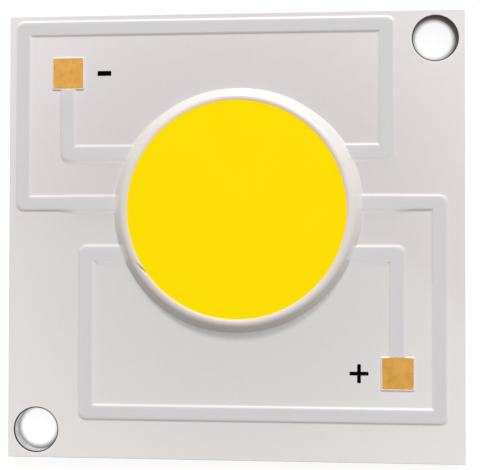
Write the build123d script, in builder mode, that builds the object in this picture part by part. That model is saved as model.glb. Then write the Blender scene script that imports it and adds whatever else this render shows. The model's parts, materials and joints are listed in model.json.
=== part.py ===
from build123d import *
import os
from math import asin, atan, degrees, sqrt

# Chip-on-board light module. An aluminium core board carries four copper conductors under a white
# solder mask, two gold solder pads, and a round light emitting surface inside a silicone bead.
# Three banks of chips lie under the phosphor fill, and two link conductors put them in series.
#
# X runs to the right and Y up, as seen from the light side. +Z is the way the light leaves.
# The origin is the centre of the board's back face. Sizes are in millimetres.

# Board
board_width = 28.0
board_depth = 27.4
base_thickness = 1.0
dielectric_thickness = 0.1
hole_diameter = 2.8  # clearance for a 2.5 mm screw
hole_inset_x = 1.75  # from the board's side to the axis of a hole
hole_inset_y = 1.7  # from the board's upper or lower edge to the axis of a hole

# Copper conductors and their gold plating
copper_thickness = 0.07
conductor_width = 0.76
plating_thickness = 0.015

# White solder mask, which follows the copper and so stands up in ridges over it
mask_thickness = 0.03
mask_side = 0.1  # how far the foot of a ridge lies outside the copper
mask_hole_clearance = 0.05  # all round a mounting hole
mask_land_clearance = 0.05  # from the bond lands to the round opening

# Solder pads
pad_size = 1.82
pad_overlap = 0.06  # how far the mask laps onto the copper of a pad
pad_bow = 0.07  # the positive pad's opening bows out this far at its upper edge
pad_negative_inset_x = 3.7
pad_negative_inset_y = 3.6
pad_positive_inset_x = 4.02
pad_positive_inset_y = 5.39

# Printed polarity marks
ink_thickness = 0.02
mark_stroke = 0.18
mark_plus_span = 1.1
mark_minus_length = 0.82
mark_minus_height = 0.26
mark_minus_gap = 0.95  # from the pad's edge to the mark
mark_plus_gap = 0.86

# Silicone bead round the light emitting surface
dam_offset_x = 0.31  # from the board's centre to the bead's centre
dam_offset_y = 1.59
dam_outer_radius = 7.55
dam_width = 1.36
dam_height = 0.55  # crest above the mask
dam_foot_rise = 0.04  # upright foot of the bead's outer side above the ridges, up to its dome
dome_flats = 4  # steps of the dome's curve, which stay within a hundredth of a millimetre of it

# Phosphor fill. It cured a little out of level, so its edge climbs nearer the crest on one side.
fill_drop_left = 0.057  # fill below the crest at the four sides of the bead
fill_drop_right = 0.255
fill_drop_up = 0.13
fill_drop_down = 0.214

# Conductor routes
entry_offset = 0.45  # the middle pair of conductors above the bead's centre
entry_pitch = 3.09  # between the pairs of conductors that enter the bead
upper_link_inset_left = 0.9  # from the board's edges to the link's centreline
upper_link_inset_top = 0.77
upper_link_return = 1.48  # from the bead's right side to the link's centreline
lower_link_inset_right = 1.49
lower_link_inset_bottom = 2.85
lower_link_return = 1.85  # from the bead's left side to the link's centreline

# Bond lands, the bare ends of the conductors round the chips
land_in_view = 0.64  # land inside the foot of the bead
land_under_dam = 0.4  # land that the bead stands on
land_break = 0.3  # bare dielectric between one land and the next
land_end_margin = 0.6  # outer lands reach this far above or below the last row of chips
window_margin = 0.2  # from the lands to the window in the dielectric

# Chips, on the bare aluminium in that window
die_length = 0.72
die_width = 0.36
die_thickness = 0.15
attach_thickness = 0.02
dies_in_row = 6
rows_in_bank = 2
bank_gap = 0.25  # added to the pitch of the rows between one bank and the next
row_top_margin = 1.7  # from the top or bottom of the window to the first or last row
row_end_margin = 0.38  # from the window to the end chip of a row
die_contact_inset = 0.1  # from the end of a chip to its bond

# Bond wires
wire_thickness = 0.03
wire_rise = 0.16  # how high a loop rises above its first bond
wire_wedge = 0.1  # length of the second bond, which is pressed flat

# Levels
copper_base = base_thickness + dielectric_thickness
copper_top = copper_base + copper_thickness
plating_top = copper_top + plating_thickness
mask_top = copper_base + mask_thickness
ridge_height = copper_thickness + mask_thickness
dome_foot = copper_base + ridge_height + dam_foot_rise
crest_level = mask_top + dam_height
die_base = base_thickness + attach_thickness
die_top = die_base + die_thickness

# Radii about the bead's centre
dam_inner_radius = dam_outer_radius - dam_width
crest_radius = dam_outer_radius - dam_width / 2
land_outer_radius = dam_inner_radius + land_under_dam
land_inner_radius = dam_inner_radius - land_in_view
land_middle_radius = (land_outer_radius + land_inner_radius) / 2
land_bond_radius = dam_inner_radius - land_in_view / 2
window_radius = land_inner_radius - window_margin

# Places
right_edge = board_width / 2
top_edge = board_depth / 2
hole_places = [
    (right_edge - hole_inset_x, top_edge - hole_inset_y),
    (hole_inset_x - right_edge, hole_inset_y - top_edge),
]
pad_negative_place = (pad_negative_inset_x - right_edge, top_edge - pad_negative_inset_y)
pad_positive_place = (right_edge - pad_positive_inset_x, pad_positive_inset_y - top_edge)
dam_centre = (dam_offset_x, dam_offset_y)
middle_entry = dam_offset_y + entry_offset
upper_entry = middle_entry + entry_pitch
lower_entry = middle_entry - entry_pitch


def land_point(side, entry):
    """The end of a conductor in the middle of its land. side is -1 on the left and 1 on the right."""
    rise = entry - dam_offset_y
    return (dam_offset_x + side * sqrt(land_middle_radius**2 - rise**2), entry)


upper_link_left = upper_link_inset_left - right_edge
upper_link_top = top_edge - upper_link_inset_top
upper_link_right = dam_offset_x + dam_outer_radius + upper_link_return
lower_link_right = right_edge - lower_link_inset_right
lower_link_bottom = lower_link_inset_bottom - top_edge
lower_link_left = dam_offset_x - dam_outer_radius - lower_link_return

negative_route = [
    pad_negative_place,
    (pad_negative_place[0], upper_entry),
    land_point(-1, upper_entry),
]
upper_link_route = [
    land_point(1, upper_entry),
    (upper_link_right, upper_entry),
    (upper_link_right, upper_link_top),
    (upper_link_left, upper_link_top),
    (upper_link_left, middle_entry),
    land_point(-1, middle_entry),
]
lower_link_route = [
    land_point(1, middle_entry),
    (lower_link_right, middle_entry),
    (lower_link_right, lower_link_bottom),
    (lower_link_left, lower_link_bottom),
    (lower_link_left, lower_entry),
    land_point(-1, lower_entry),
]
positive_route = [
    land_point(1, lower_entry),
    (pad_positive_place[0], lower_entry),
    pad_positive_place,
]
routes = [negative_route, upper_link_route, lower_link_route, positive_route]

# Rows of chips, spread evenly over the window but for the wider step between two banks
banks = {"upper": 1, "middle": 0, "lower": -1}
row_steps = rows_in_bank * len(banks) - 1
top_row = window_radius - row_top_margin
row_pitch = (2 * top_row - (len(banks) - 1) * bank_gap) / row_steps
bank_pitch = rows_in_bank * row_pitch + bank_gap

# Each bank has a land on its left and one on its right. The angles are those of a land's ends, from
# the bead's side. Neighbouring lands meet, but for a break, halfway between two banks.
bank_split = degrees(asin(bank_pitch / 2 / land_middle_radius))
half_break = degrees(land_break / 2 / land_middle_radius)
land_end = degrees(asin((top_row + land_end_margin) / land_middle_radius))
land_angles = {
    "upper": (bank_split + half_break, land_end),
    "middle": (half_break - bank_split, bank_split - half_break),
    "lower": (-land_end, -bank_split - half_break),
}


def board_outline(hole_radius):
    """The board's outline, with a hole of this radius at each mounting hole."""
    with BuildSketch() as outline:
        Rectangle(board_width, board_depth)
        with Locations(*hole_places):
            Circle(hole_radius, mode=Mode.SUBTRACT)
    return outline.sketch


def route_outline(route, width):
    """A conductor's centreline widened, with round outer corners and ends."""
    with BuildSketch() as outline:
        with BuildLine():
            Polyline(*route)
            offset(amount=width / 2)
        make_face()
    return outline.sketch


def land_outline(side, bank_name):
    """The curved land at one end of a bank of chips. side is -1 on the left and 1 on the right."""
    low, high = land_angles[bank_name]
    start = low if side > 0 else 180 - low
    sweep_angle = side * (high - low)
    with BuildSketch() as outline:
        with BuildLine():
            outer = CenterArc(dam_centre, land_outer_radius, start, sweep_angle)
            inner = CenterArc(dam_centre, land_inner_radius, start, sweep_angle)
            Line(outer @ 0, inner @ 0)
            Line(outer @ 1, inner @ 1)
        make_face()
    return outline.sketch


def pad_outline(place, size):
    """A square solder pad."""
    with BuildSketch() as outline:
        with Locations(place):
            Rectangle(size, size)
    return outline.sketch


def positive_opening():
    """The mask opening over the positive pad, with its upper edge bowed out."""
    x, y = pad_positive_place
    corner_left = (x - pad_size / 2, y + pad_size / 2)
    corner_right = (x + pad_size / 2, y + pad_size / 2)
    with BuildSketch() as outline:
        add(pad_outline(pad_positive_place, pad_size))
        with BuildLine():
            Line(corner_left, corner_right)
            ThreePointArc(corner_left, (x, y + pad_size / 2 + pad_bow), corner_right)
        make_face()
    return outline.sketch


def row_heights(bank):
    """The rows of chips in a bank, as heights above the bead's centre."""
    lowest = bank * bank_pitch - (rows_in_bank - 1) / 2 * row_pitch
    return [lowest + number * row_pitch for number in range(rows_in_bank)]


def row_places(height):
    """The centres of the chips of one row, spread over the chord that the window leaves at that height."""
    edge = abs(height) + die_width / 2
    half_span = sqrt(window_radius**2 - edge**2) - row_end_margin - die_length / 2
    pitch = 2 * half_span / (dies_in_row - 1)
    return [
        (dam_offset_x - half_span + pitch * number, dam_offset_y + height)
        for number in range(dies_in_row)
    ]


def wire_spans(height):
    """The bonds of one row from left to right: land to chip, chip to chip and chip to land."""
    reach = die_length / 2 - die_contact_inset
    land_x = sqrt(land_bond_radius**2 - height**2)
    y = dam_offset_y + height
    bonds = [Vector(dam_offset_x - land_x, y, plating_top)]
    for x, _ in row_places(height):
        bonds.append(Vector(x - reach, y, die_top))
        bonds.append(Vector(x + reach, y, die_top))
    bonds.append(Vector(dam_offset_x + land_x, y, plating_top))
    return list(zip(bonds[::2], bonds[1::2]))


def bond_wire(first, second):
    """A wire that rises from its first bond and slopes down to its second, further to the right."""
    half = wire_thickness / 2
    loop_top = first.Z + wire_rise
    with BuildPart() as wire:
        with BuildSketch(Plane(origin=(0, first.Y, 0), x_dir=(1, 0, 0), z_dir=(0, -1, 0))):
            with BuildLine():
                Polyline(
                    (first.X - half, first.Z),
                    (first.X - half, loop_top),
                    (second.X + wire_wedge / 2, second.Z),
                    (second.X - wire_wedge / 2, second.Z),
                    (first.X + half, loop_top - wire_thickness),
                    (first.X + half, first.Z),
                    close=True,
                )
            make_face()
        extrude(amount=half, both=True)
    return wire.part


# Aluminium core board
with BuildPart() as base_plate:
    with BuildSketch():
        add(board_outline(hole_diameter / 2))
    extrude(amount=base_thickness)
base_plate.part.label = "base_plate"

# Insulation between the aluminium and the copper, with a window for the chips
with BuildPart() as dielectric_layer:
    with BuildSketch(Plane.XY.offset(base_thickness)):
        add(board_outline(hole_diameter / 2))
        with Locations(dam_centre):
            Circle(window_radius, mode=Mode.SUBTRACT)
    extrude(amount=dielectric_thickness)
dielectric_layer.part.label = "dielectric_layer"

# Copper from the negative pad to the left land of the upper bank
with BuildPart() as trace_negative:
    with BuildSketch(Plane.XY.offset(copper_base)):
        add(pad_outline(pad_negative_place, pad_size + 2 * pad_overlap))
        add(route_outline(negative_route, conductor_width))
        add(land_outline(-1, "upper"))
    extrude(amount=copper_thickness)
trace_negative.part.label = "trace_negative"

# Copper from the right land of the upper bank, round the upper edge, to the left land of the middle bank
with BuildPart() as trace_link_upper:
    with BuildSketch(Plane.XY.offset(copper_base)):
        add(land_outline(1, "upper"))
        add(route_outline(upper_link_route, conductor_width))
        add(land_outline(-1, "middle"))
    extrude(amount=copper_thickness)
trace_link_upper.part.label = "trace_link_upper"

# Copper from the right land of the middle bank, round the lower edge, to the left land of the lower bank
with BuildPart() as trace_link_lower:
    with BuildSketch(Plane.XY.offset(copper_base)):
        add(land_outline(1, "middle"))
        add(route_outline(lower_link_route, conductor_width))
        add(land_outline(-1, "lower"))
    extrude(amount=copper_thickness)
trace_link_lower.part.label = "trace_link_lower"

# Copper from the right land of the lower bank to the positive pad
with BuildPart() as trace_positive:
    with BuildSketch(Plane.XY.offset(copper_base)):
        add(land_outline(1, "lower"))
        add(route_outline(positive_route, conductor_width))
        add(pad_outline(pad_positive_place, pad_size + 2 * pad_overlap))
    extrude(amount=copper_thickness)
trace_positive.part.label = "trace_positive"

conductors = [trace_negative.part, trace_link_upper.part, trace_link_lower.part, trace_positive.part]

# White solder mask: a film on the dielectric, with sloped ridges where it climbs over the copper
with BuildPart() as solder_mask:
    with BuildSketch(Plane.XY.offset(copper_base)):
        add(board_outline(hole_diameter / 2 + mask_hole_clearance))
    extrude(amount=mask_thickness)
    with BuildSketch(Plane.XY.offset(copper_base)):
        for place in (pad_negative_place, pad_positive_place):
            add(pad_outline(place, pad_size + 2 * pad_overlap + 2 * mask_side))
        for route in routes:
            add(route_outline(route, conductor_width + 2 * mask_side))
    extrude(amount=ridge_height, taper=degrees(atan(mask_side / ridge_height)))
    add(conductors, mode=Mode.SUBTRACT)
    with BuildSketch(Plane.XY.offset(copper_base)):
        add(pad_outline(pad_negative_place, pad_size))
        add(positive_opening())
        with Locations(dam_centre):
            Circle(land_outer_radius + mask_land_clearance)
    extrude(amount=ridge_height, mode=Mode.SUBTRACT)
solder_mask.part.label = "solder_mask"

# Gold plating in the openings over the solder pads
with BuildPart() as pad_plating_negative:
    with BuildSketch(Plane.XY.offset(copper_top)):
        add(pad_outline(pad_negative_place, pad_size))
    extrude(amount=plating_thickness)
pad_plating_negative.part.label = "pad_plating_negative"

with BuildPart() as pad_plating_positive:
    with BuildSketch(Plane.XY.offset(copper_top)):
        add(positive_opening())
    extrude(amount=plating_thickness)
pad_plating_positive.part.label = "pad_plating_positive"

# Gold plating on the bond lands
land_platings = []
for side_name, side in (("left", -1), ("right", 1)):
    for bank_name in banks:
        with BuildPart() as land_plating:
            with BuildSketch(Plane.XY.offset(copper_top)):
                add(land_outline(side, bank_name))
            extrude(amount=plating_thickness)
        land_plating.part.label = f"land_plating_{side_name}_{bank_name}"
        land_platings.append(land_plating.part)

# Printed polarity marks, each beside its pad
mark_minus_x = pad_negative_place[0] + pad_size / 2 + mark_minus_gap + mark_minus_length / 2
with BuildPart() as mark_minus:
    with BuildSketch(Plane.XY.offset(mask_top)):
        with Locations((mark_minus_x, pad_negative_place[1])):
            Rectangle(mark_minus_length, mark_minus_height)
    extrude(amount=ink_thickness)
mark_minus.part.label = "mark_minus"

mark_plus_x = pad_positive_place[0] - pad_size / 2 - mark_plus_gap - mark_plus_span / 2
with BuildPart() as mark_plus:
    with BuildSketch(Plane.XY.offset(mask_top)):
        with Locations((mark_plus_x, pad_positive_place[1])):
            Rectangle(mark_plus_span, mark_stroke)
            Rectangle(mark_stroke, mark_plus_span)
    extrude(amount=ink_thickness)
mark_plus.part.label = "mark_plus"

# Silicone bead: domed outside, sloped inside, and shaped underneath by the mask, its ridges and the lands
dam_section = Plane(origin=dam_centre, x_dir=(1, 0, 0), z_dir=(0, -1, 0))
dam_axis = Axis(dam_centre, (0, 0, 1))
with BuildPart() as dam_ring:
    with BuildSketch(dam_section):
        with BuildLine():
            dome = TangentArc(
                (crest_radius, crest_level),
                (dam_outer_radius, dome_foot),
                tangent=(1, 0),
                mode=Mode.PRIVATE,
            )
            Polyline(*[dome @ (step / dome_flats) for step in range(dome_flats + 1)])
            Polyline(
                (dam_outer_radius, dome_foot),
                (dam_outer_radius, copper_base),
                (dam_inner_radius, copper_base),
                (crest_radius, crest_level),
            )
        make_face()
    revolve(axis=dam_axis)
    add([solder_mask.part, *conductors, *land_platings], mode=Mode.SUBTRACT)
dam_ring.part.label = "dam_ring"

# Chips, their adhesive and their bond wires, bank by bank
die_banks = []
attach_banks = []
wire_banks = []
for bank_name, bank in banks.items():
    heights = row_heights(bank)
    places = [place for height in heights for place in row_places(height)]

    with BuildPart() as die_attach:
        with BuildSketch(Plane.XY.offset(base_thickness)):
            with Locations(*places):
                Rectangle(die_length, die_width)
        extrude(amount=attach_thickness)
    die_attach.part.label = f"die_attach_{bank_name}"
    attach_banks.append(die_attach.part)

    with BuildPart() as led_dies:
        with BuildSketch(Plane.XY.offset(die_base)):
            with Locations(*places):
                Rectangle(die_length, die_width)
        extrude(amount=die_thickness)
    led_dies.part.label = f"led_dies_{bank_name}"
    die_banks.append(led_dies.part)

    wires = [bond_wire(*span) for height in heights for span in wire_spans(height)]
    with BuildPart() as bond_wires:
        add(wires)
    bond_wires.part.label = f"bond_wires_{bank_name}"
    wire_banks.append(bond_wires.part)

# Phosphor and silicone, poured over the chips and up the inner side of the bead
fill_level = crest_level - (fill_drop_left + fill_drop_right + fill_drop_up + fill_drop_down) / 4
fill_slope_x = (fill_drop_left - fill_drop_right) / (2 * crest_radius)
fill_slope_y = (fill_drop_down - fill_drop_up) / (2 * crest_radius)
fill_surface = Plane(
    origin=(dam_offset_x, dam_offset_y, fill_level),
    z_dir=(-fill_slope_x, -fill_slope_y, 1),
)
with BuildPart() as phosphor_fill:
    with BuildSketch(dam_section):
        with BuildLine():
            Polyline(
                (0, base_thickness),
                (window_radius, base_thickness),
                (window_radius, copper_base),
                (dam_inner_radius, copper_base),
                (crest_radius, crest_level),
                (0, crest_level),
                close=True,
            )
        make_face()
    revolve(axis=dam_axis)
    split(bisect_by=fill_surface, keep=Keep.BOTTOM)
    add([*conductors, *land_platings], mode=Mode.SUBTRACT)
    add([*attach_banks, *die_banks, *wire_banks], mode=Mode.SUBTRACT)
phosphor_fill.part.label = "phosphor_fill"

pieces = [
    base_plate.part,
    dielectric_layer.part,
    *conductors,
    solder_mask.part,
    pad_plating_negative.part,
    pad_plating_positive.part,
    *land_platings,
    mark_minus.part,
    mark_plus.part,
    dam_ring.part,
    *attach_banks,
    *die_banks,
    *wire_banks,
    phosphor_fill.part,
]

os.makedirs("parts", exist_ok=True)
for piece in pieces:
    export_step(piece, f"parts/{piece.label}.step")
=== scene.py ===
import json
import math
import bpy
import numpy as np
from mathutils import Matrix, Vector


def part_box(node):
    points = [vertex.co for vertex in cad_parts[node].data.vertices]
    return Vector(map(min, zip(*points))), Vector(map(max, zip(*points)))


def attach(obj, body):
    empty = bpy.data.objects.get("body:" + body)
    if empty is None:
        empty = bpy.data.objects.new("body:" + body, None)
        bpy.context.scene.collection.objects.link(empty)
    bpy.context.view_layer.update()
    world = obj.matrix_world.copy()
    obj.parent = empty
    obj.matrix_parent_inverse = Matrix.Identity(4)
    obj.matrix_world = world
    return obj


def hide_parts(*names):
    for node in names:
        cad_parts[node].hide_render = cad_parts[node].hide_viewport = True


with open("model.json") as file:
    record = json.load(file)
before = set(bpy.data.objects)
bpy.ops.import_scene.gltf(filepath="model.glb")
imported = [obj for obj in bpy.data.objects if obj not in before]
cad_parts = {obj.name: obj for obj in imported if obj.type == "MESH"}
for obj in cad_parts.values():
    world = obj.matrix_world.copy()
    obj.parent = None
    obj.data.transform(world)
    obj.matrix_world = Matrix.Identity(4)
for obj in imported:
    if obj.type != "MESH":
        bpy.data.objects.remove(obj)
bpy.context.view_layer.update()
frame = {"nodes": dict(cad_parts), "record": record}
mm = 0.001  # the numpy work below is in millimetres, and addPiece turns it into metres
tiny = 1e-6  # slack for lines that should coincide

# Chip-on-board light module on a plain pale floor. Every surface is worked out over the imported CAD model:
# the board's layers are sheets over a plan, the bead and the fill are turned shapes with flaws of their own.


def boxOf(node):
    # lowest and highest corner of a CAD node, in millimetres
    low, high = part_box(node)
    return np.array(low) / mm, np.array(high) / mm


def middleOf(node):
    low, high = boxOf(node)
    return (low + high) / 2


boardLow, boardHigh = boxOf("base_plate")
damHigh = boxOf("dam_ring")[1]
damMiddle = middleOf("dam_ring")
padNegative = middleOf("pad_plating_negative")
padPositiveLow, padPositiveHigh = boxOf("pad_plating_positive")
padHalf = (padPositiveHigh[0] - padPositiveLow[0]) / 2
padBow = padPositiveHigh[1] - padPositiveLow[1] - 2 * padHalf
padPositive = np.array([padPositiveLow[0] + padHalf, padPositiveLow[1] + padHalf])
mounts = {mount["name"]: np.array(mount["pos_m"]) / mm for mount in frame["record"]["mounts"]}
holePlaces = [mounts[name] for name in sorted(mounts) if name.startswith("screw_hole")]

levels = {
    "back": boardLow[2],
    "baseTop": boardHigh[2],
    "copperBase": boxOf("solder_mask")[0][2],
    "copperTop": boxOf("trace_negative")[1][2],
    "platingTop": boxOf("pad_plating_negative")[1][2],
    "maskTop": boxOf("mark_plus")[0][2],
    "ridgeTop": boxOf("solder_mask")[1][2],
    "crest": damHigh[2],
}

# The same conductor routes as in the CAD source, in millimetres from the middle of the board
conductors = {
    "halfWidth": 0.38,
    "negative": [(-10.3, 10.1), (-10.3, 5.13), (-4.62, 5.13)],
    "upperLink": [
        (5.24, 5.13), (9.34, 5.13), (9.34, 12.93),
        (-13.1, 12.93), (-13.1, 2.04), (-5.74, 2.04),
    ],
    "lowerLink": [
        (6.36, 2.04), (12.51, 2.04), (12.51, -10.85),
        (-9.09, -10.85), (-9.09, -1.05), (-5.16, -1.05),
    ],
    "positive": [(5.78, -1.05), (9.98, -1.05), (9.98, -8.31)],
    "padMargin": 0.06,  # how much wider the copper is than the opening over a pad
}
holeRadius = 1.4
windowRadius = 5.35  # of the window in the insulation, in which the chips sit
routes = [conductors[name] for name in ("negative", "upperLink", "lowerLink", "positive")]


def smoothStep(value):
    # 0 below 0, 1 above 1, and 3v^2 - 2v^3 between
    value = np.clip(value, 0, 1)
    return value * value * (3 - 2 * value)


def ripple(x, y, seed, length):
    # gentle unevenness from -1 to 1: the mean of sine waves of about this length in all directions, each
    # with a turn, a stretch and a phase of its own
    source = np.random.default_rng(seed)
    waves, fullTurn = 6, 6.28
    total = np.zeros_like(x)
    for turn, stretch, phase in zip(*source.uniform((0, 0.7, 0), (math.pi, 1.5, fullTurn), (waves, 3)).T):
        total += np.sin((x * math.cos(turn) + y * math.sin(turn)) * fullTurn / length * stretch + phase)
    return total / waves


def routeDistance(x, y):
    # distance from each point to the nearest conductor's centreline
    nearest = np.full(x.shape, np.inf)
    for route in routes:
        for (ax, ay), (bx, by) in zip(route, route[1:]):
            dx, dy = bx - ax, by - ay
            along = np.clip(((x - ax) * dx + (y - ay) * dy) / (dx * dx + dy * dy), 0, 1)
            nearest = np.minimum(nearest, np.hypot(x - ax - along * dx, y - ay - along * dy))
    return nearest


def boxDistance(x, y, centre, half):
    # distance outside a square or, with two half sides, a rectangle, and below zero inside it
    halfX, halfY = np.broadcast_to(half, 2)
    dx, dy = np.abs(x - centre[0]) - halfX, np.abs(y - centre[1]) - halfY
    return np.hypot(np.maximum(dx, 0), np.maximum(dy, 0)) + np.minimum(np.maximum(dx, dy), 0)


def copperDistance(x, y):
    # distance outside the copper of the routes and the pads, and below zero over it
    copper = routeDistance(x, y) - conductors["halfWidth"]
    for pad in (padNegative, padPositive):
        copper = np.minimum(copper, boxDistance(x, y, pad, padHalf + conductors["padMargin"]))
    return copper


def addPiece(name, points, faces, slot, material, replaces, sharpAngle=40, wallMaterial=None, walls=0):
    # a smooth shaded mesh object that rides on the part and stands for CAD nodes; its last faces may have a
    # material of their own
    mesh = bpy.data.meshes.new(name)
    mesh.from_pydata(points * mm, [], faces.tolist())
    mesh.polygons.foreach_set("use_smooth", np.ones(len(mesh.polygons), bool))
    mesh.set_sharp_from_angle(angle=math.radians(sharpAngle))
    mesh.materials.append(material)
    if wallMaterial:
        mesh.materials.append(wallMaterial)
        onWall = np.arange(len(faces)) >= len(faces) - walls
        mesh.polygons.foreach_set("material_index", onWall.astype(np.int32))
    piece = bpy.data.objects.new(name, mesh)
    bpy.context.scene.collection.objects.link(piece)
    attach(piece, "root")
    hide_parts(*replaces)
    print(f"{name}: {len(mesh.polygons)} faces")
    return piece


def addAttribute(piece, name, values):
    attribute = piece.data.attributes.new(name, "FLOAT", "POINT")
    attribute.data.foreach_set("value", values.astype(np.float32))


# Sheets: a plan of quads between two sets of lines, less its openings, with a top, a bottom and a wall
# along every free edge.


def spreadLines(pinned, wanted, step, least):
    # the pinned lines, the wanted ones that aren't too near to another, and even filling in the wide gaps
    kept = sorted(set(pinned))
    for line in sorted(wanted):
        if kept[0] < line < kept[-1] and min(abs(line - other) for other in kept) >= least:
            kept.append(line)
            kept.sort()
    filled = [
        np.linspace(low, high, math.ceil((high - low) / step), endpoint=False)
        for low, high in zip(kept, kept[1:])
    ]
    return np.append(np.concatenate(filled), kept[-1])


def roundLines(centre, radius, reach, steps, rim):
    # the lines that one coordinate needs for a round opening: pinned at the circle's diagonals and at the
    # reach, wanted at even angles between the diagonals, and at the rim offsets just outside them
    half = radius * math.sqrt(0.5)
    angles = np.linspace(-math.pi / 4, math.pi / 4, steps + 1)[1:-1]
    pinned = [centre - half, centre + half, centre - reach, centre + reach]
    wanted = [centre + radius * math.sin(angle) for angle in angles]
    wanted += [centre + side * (half + offset) for side in (-1, 1) for offset in rim]
    return pinned, wanted


def slideToRim(x, y, opening):
    # points beside the square inscribed in a round opening slide straight out to its circle, and the
    # slide fades to nothing at the reach
    centre, radius, reach = opening["centre"], opening["radius"], opening["reach"]
    half = radius * math.sqrt(0.5)
    dx, dy = x - centre[0], y - centre[1]

    def slide(across, along, limit):
        rim = np.sqrt(radius**2 - np.clip(along, -half, half) ** 2)
        share = (limit - np.abs(across)) / (limit - half)
        beside = (np.abs(along) <= half + tiny) & (np.abs(across) >= half - tiny) & (share > 0)
        return np.where(beside, np.sign(across) * (rim - half) * share, 0)

    return x + slide(dx, dy, reach[0]), y + slide(dy, dx, reach[1])


def planSheet(xLines, yLines, rounds, squares=()):
    # plan points and quads, without the cells inside the openings
    x, y = np.meshgrid(xLines, yLines, indexing="ij")
    number = np.arange(x.size).reshape(x.shape)
    quads = np.stack([number[:-1, :-1], number[1:, :-1], number[1:, 1:], number[:-1, 1:]], axis=-1)
    middleX = (x[:-1, :-1] + x[1:, 1:]) / 2
    middleY = (y[:-1, :-1] + y[1:, 1:]) / 2
    keep = np.ones(middleX.shape, bool)
    for opening in rounds:
        half = opening["radius"] * math.sqrt(0.5)
        keep &= boxDistance(middleX, middleY, opening["centre"], half) > 0
    for centre, half in squares:
        keep &= boxDistance(middleX, middleY, centre, half) > 0
    for opening in rounds:
        x, y = slideToRim(x, y, opening)
    used, quads = np.unique(quads[keep], return_inverse=True)
    return x.ravel()[used], y.ravel()[used], quads.reshape(-1, 4)


def sheetSolid(x, y, quads, top, bottom):
    # the plan at two heights, with a wall below each edge that only one quad uses. Returns the points, the
    # faces with the walls last, and how many walls there are.
    count = len(x)
    edges = np.concatenate([quads[:, [0, 1]], quads[:, [1, 2]], quads[:, [2, 3]], quads[:, [3, 0]]])
    forward = edges[:, 0].astype(np.int64) * count + edges[:, 1]
    backward = edges[:, 1].astype(np.int64) * count + edges[:, 0]
    start, end = edges[~np.isin(forward, backward)].T
    walls = np.stack([end, start, start + count, end + count], axis=1)
    points = np.concatenate([np.stack([x, y, top], axis=1), np.stack([x, y, bottom], axis=1)])
    return points, np.concatenate([quads, quads[:, ::-1] + count, walls]), len(walls)


def loopSolid(x, y, z):
    # closed skin of a section carried all the way round: quads between neighbours in both directions
    rounds, steps = x.shape
    number = np.arange(rounds * steps).reshape(rounds, steps)
    nextRound = np.roll(number, -1, axis=0)
    nextStep = np.roll(number, -1, axis=1)
    both = np.roll(nextRound, -1, axis=1)
    faces = np.stack([number, nextRound, both, nextStep], axis=-1).reshape(-1, 4)
    return np.stack([x.ravel(), y.ravel(), z.ravel()], axis=1), faces


def edgeDistance(x, y, inset, rounds):
    # distance to the nearest free edge of a sheet that stops this far inside the board's outline
    sides = [x - boardLow[0], boardHigh[0] - x, y - boardLow[1], boardHigh[1] - y]
    edge = np.min(sides, axis=0) - inset
    for opening in rounds:
        reach = np.hypot(x - opening["centre"][0], y - opening["centre"][1]) - opening["radius"]
        edge = np.minimum(edge, reach)
    return np.maximum(edge, 0)


def roundOver(distance, radius):
    # how far a quarter-round edge of this radius drops below the flat, at this distance from the edge
    inside = np.clip(radius - distance, 0, radius)
    return radius - np.sqrt(np.maximum(radius**2 - inside**2, 0))


def boardLines(axis, inset, rounds, wanted, pinned, step, least):
    # the lines of one coordinate for a sheet of the board with round openings
    low, high = boardLow[axis] + inset, boardHigh[axis] - inset
    pinned = [low, high, *pinned]
    wanted = list(wanted)
    for opening in rounds:
        centre, reach = opening["centre"][axis], opening["reach"][axis]
        fixed, free = roundLines(centre, opening["radius"], reach, opening["steps"], opening["rim"])
        pinned += [min(max(line, low), high) for line in fixed]
        wanted += free
    return spreadLines(pinned, wanted, step, least)


def roundOpening(centre, radius, reach, steps, rim=()):
    # the reach is one length, or one for each direction
    reach = np.broadcast_to(reach, 2)
    return {"centre": centre[:2], "radius": radius, "reach": reach, "steps": steps, "rim": rim}


def screwHoles(radius, inset, steps, rim=()):
    # round openings at the mounting holes, which reach nearly as far as the board's nearest edges
    margin = inset + 0.1
    reach = [boardHigh[axis] - abs(holePlaces[0][axis]) - margin for axis in (0, 1)]
    return [roundOpening(place, radius, reach, steps, rim) for place in holePlaces]


# Shader node groups


def newGroup(name, inputs, outputs):
    group = bpy.data.node_groups.new(name, "ShaderNodeTree")
    for label, kind, value in inputs:
        socket = group.interface.new_socket(name=label, in_out="INPUT", socket_type=kind)
        if value is not None:
            socket.default_value = value
    for label, kind in outputs:
        group.interface.new_socket(name=label, in_out="OUTPUT", socket_type=kind)
    return group, group.nodes.new("NodeGroupInput"), group.nodes.new("NodeGroupOutput")


def addNode(tree, kind, links=(), **values):
    # a node with its properties set, its inputs set or linked by name or number
    node = tree.nodes.new(kind)
    for name, value in values.items():
        setattr(node, name, value)
    for key, source in dict(links).items():
        if isinstance(source, bpy.types.NodeSocket):
            tree.links.new(source, node.inputs[key])
        else:
            node.inputs[key].default_value = source
    return node


def calculate(tree, operation, first, second=0.0, third=0.0):
    node = addNode(tree, "ShaderNodeMath", {0: first, 1: second, 2: third}, operation=operation)
    return node.outputs[0]


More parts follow.
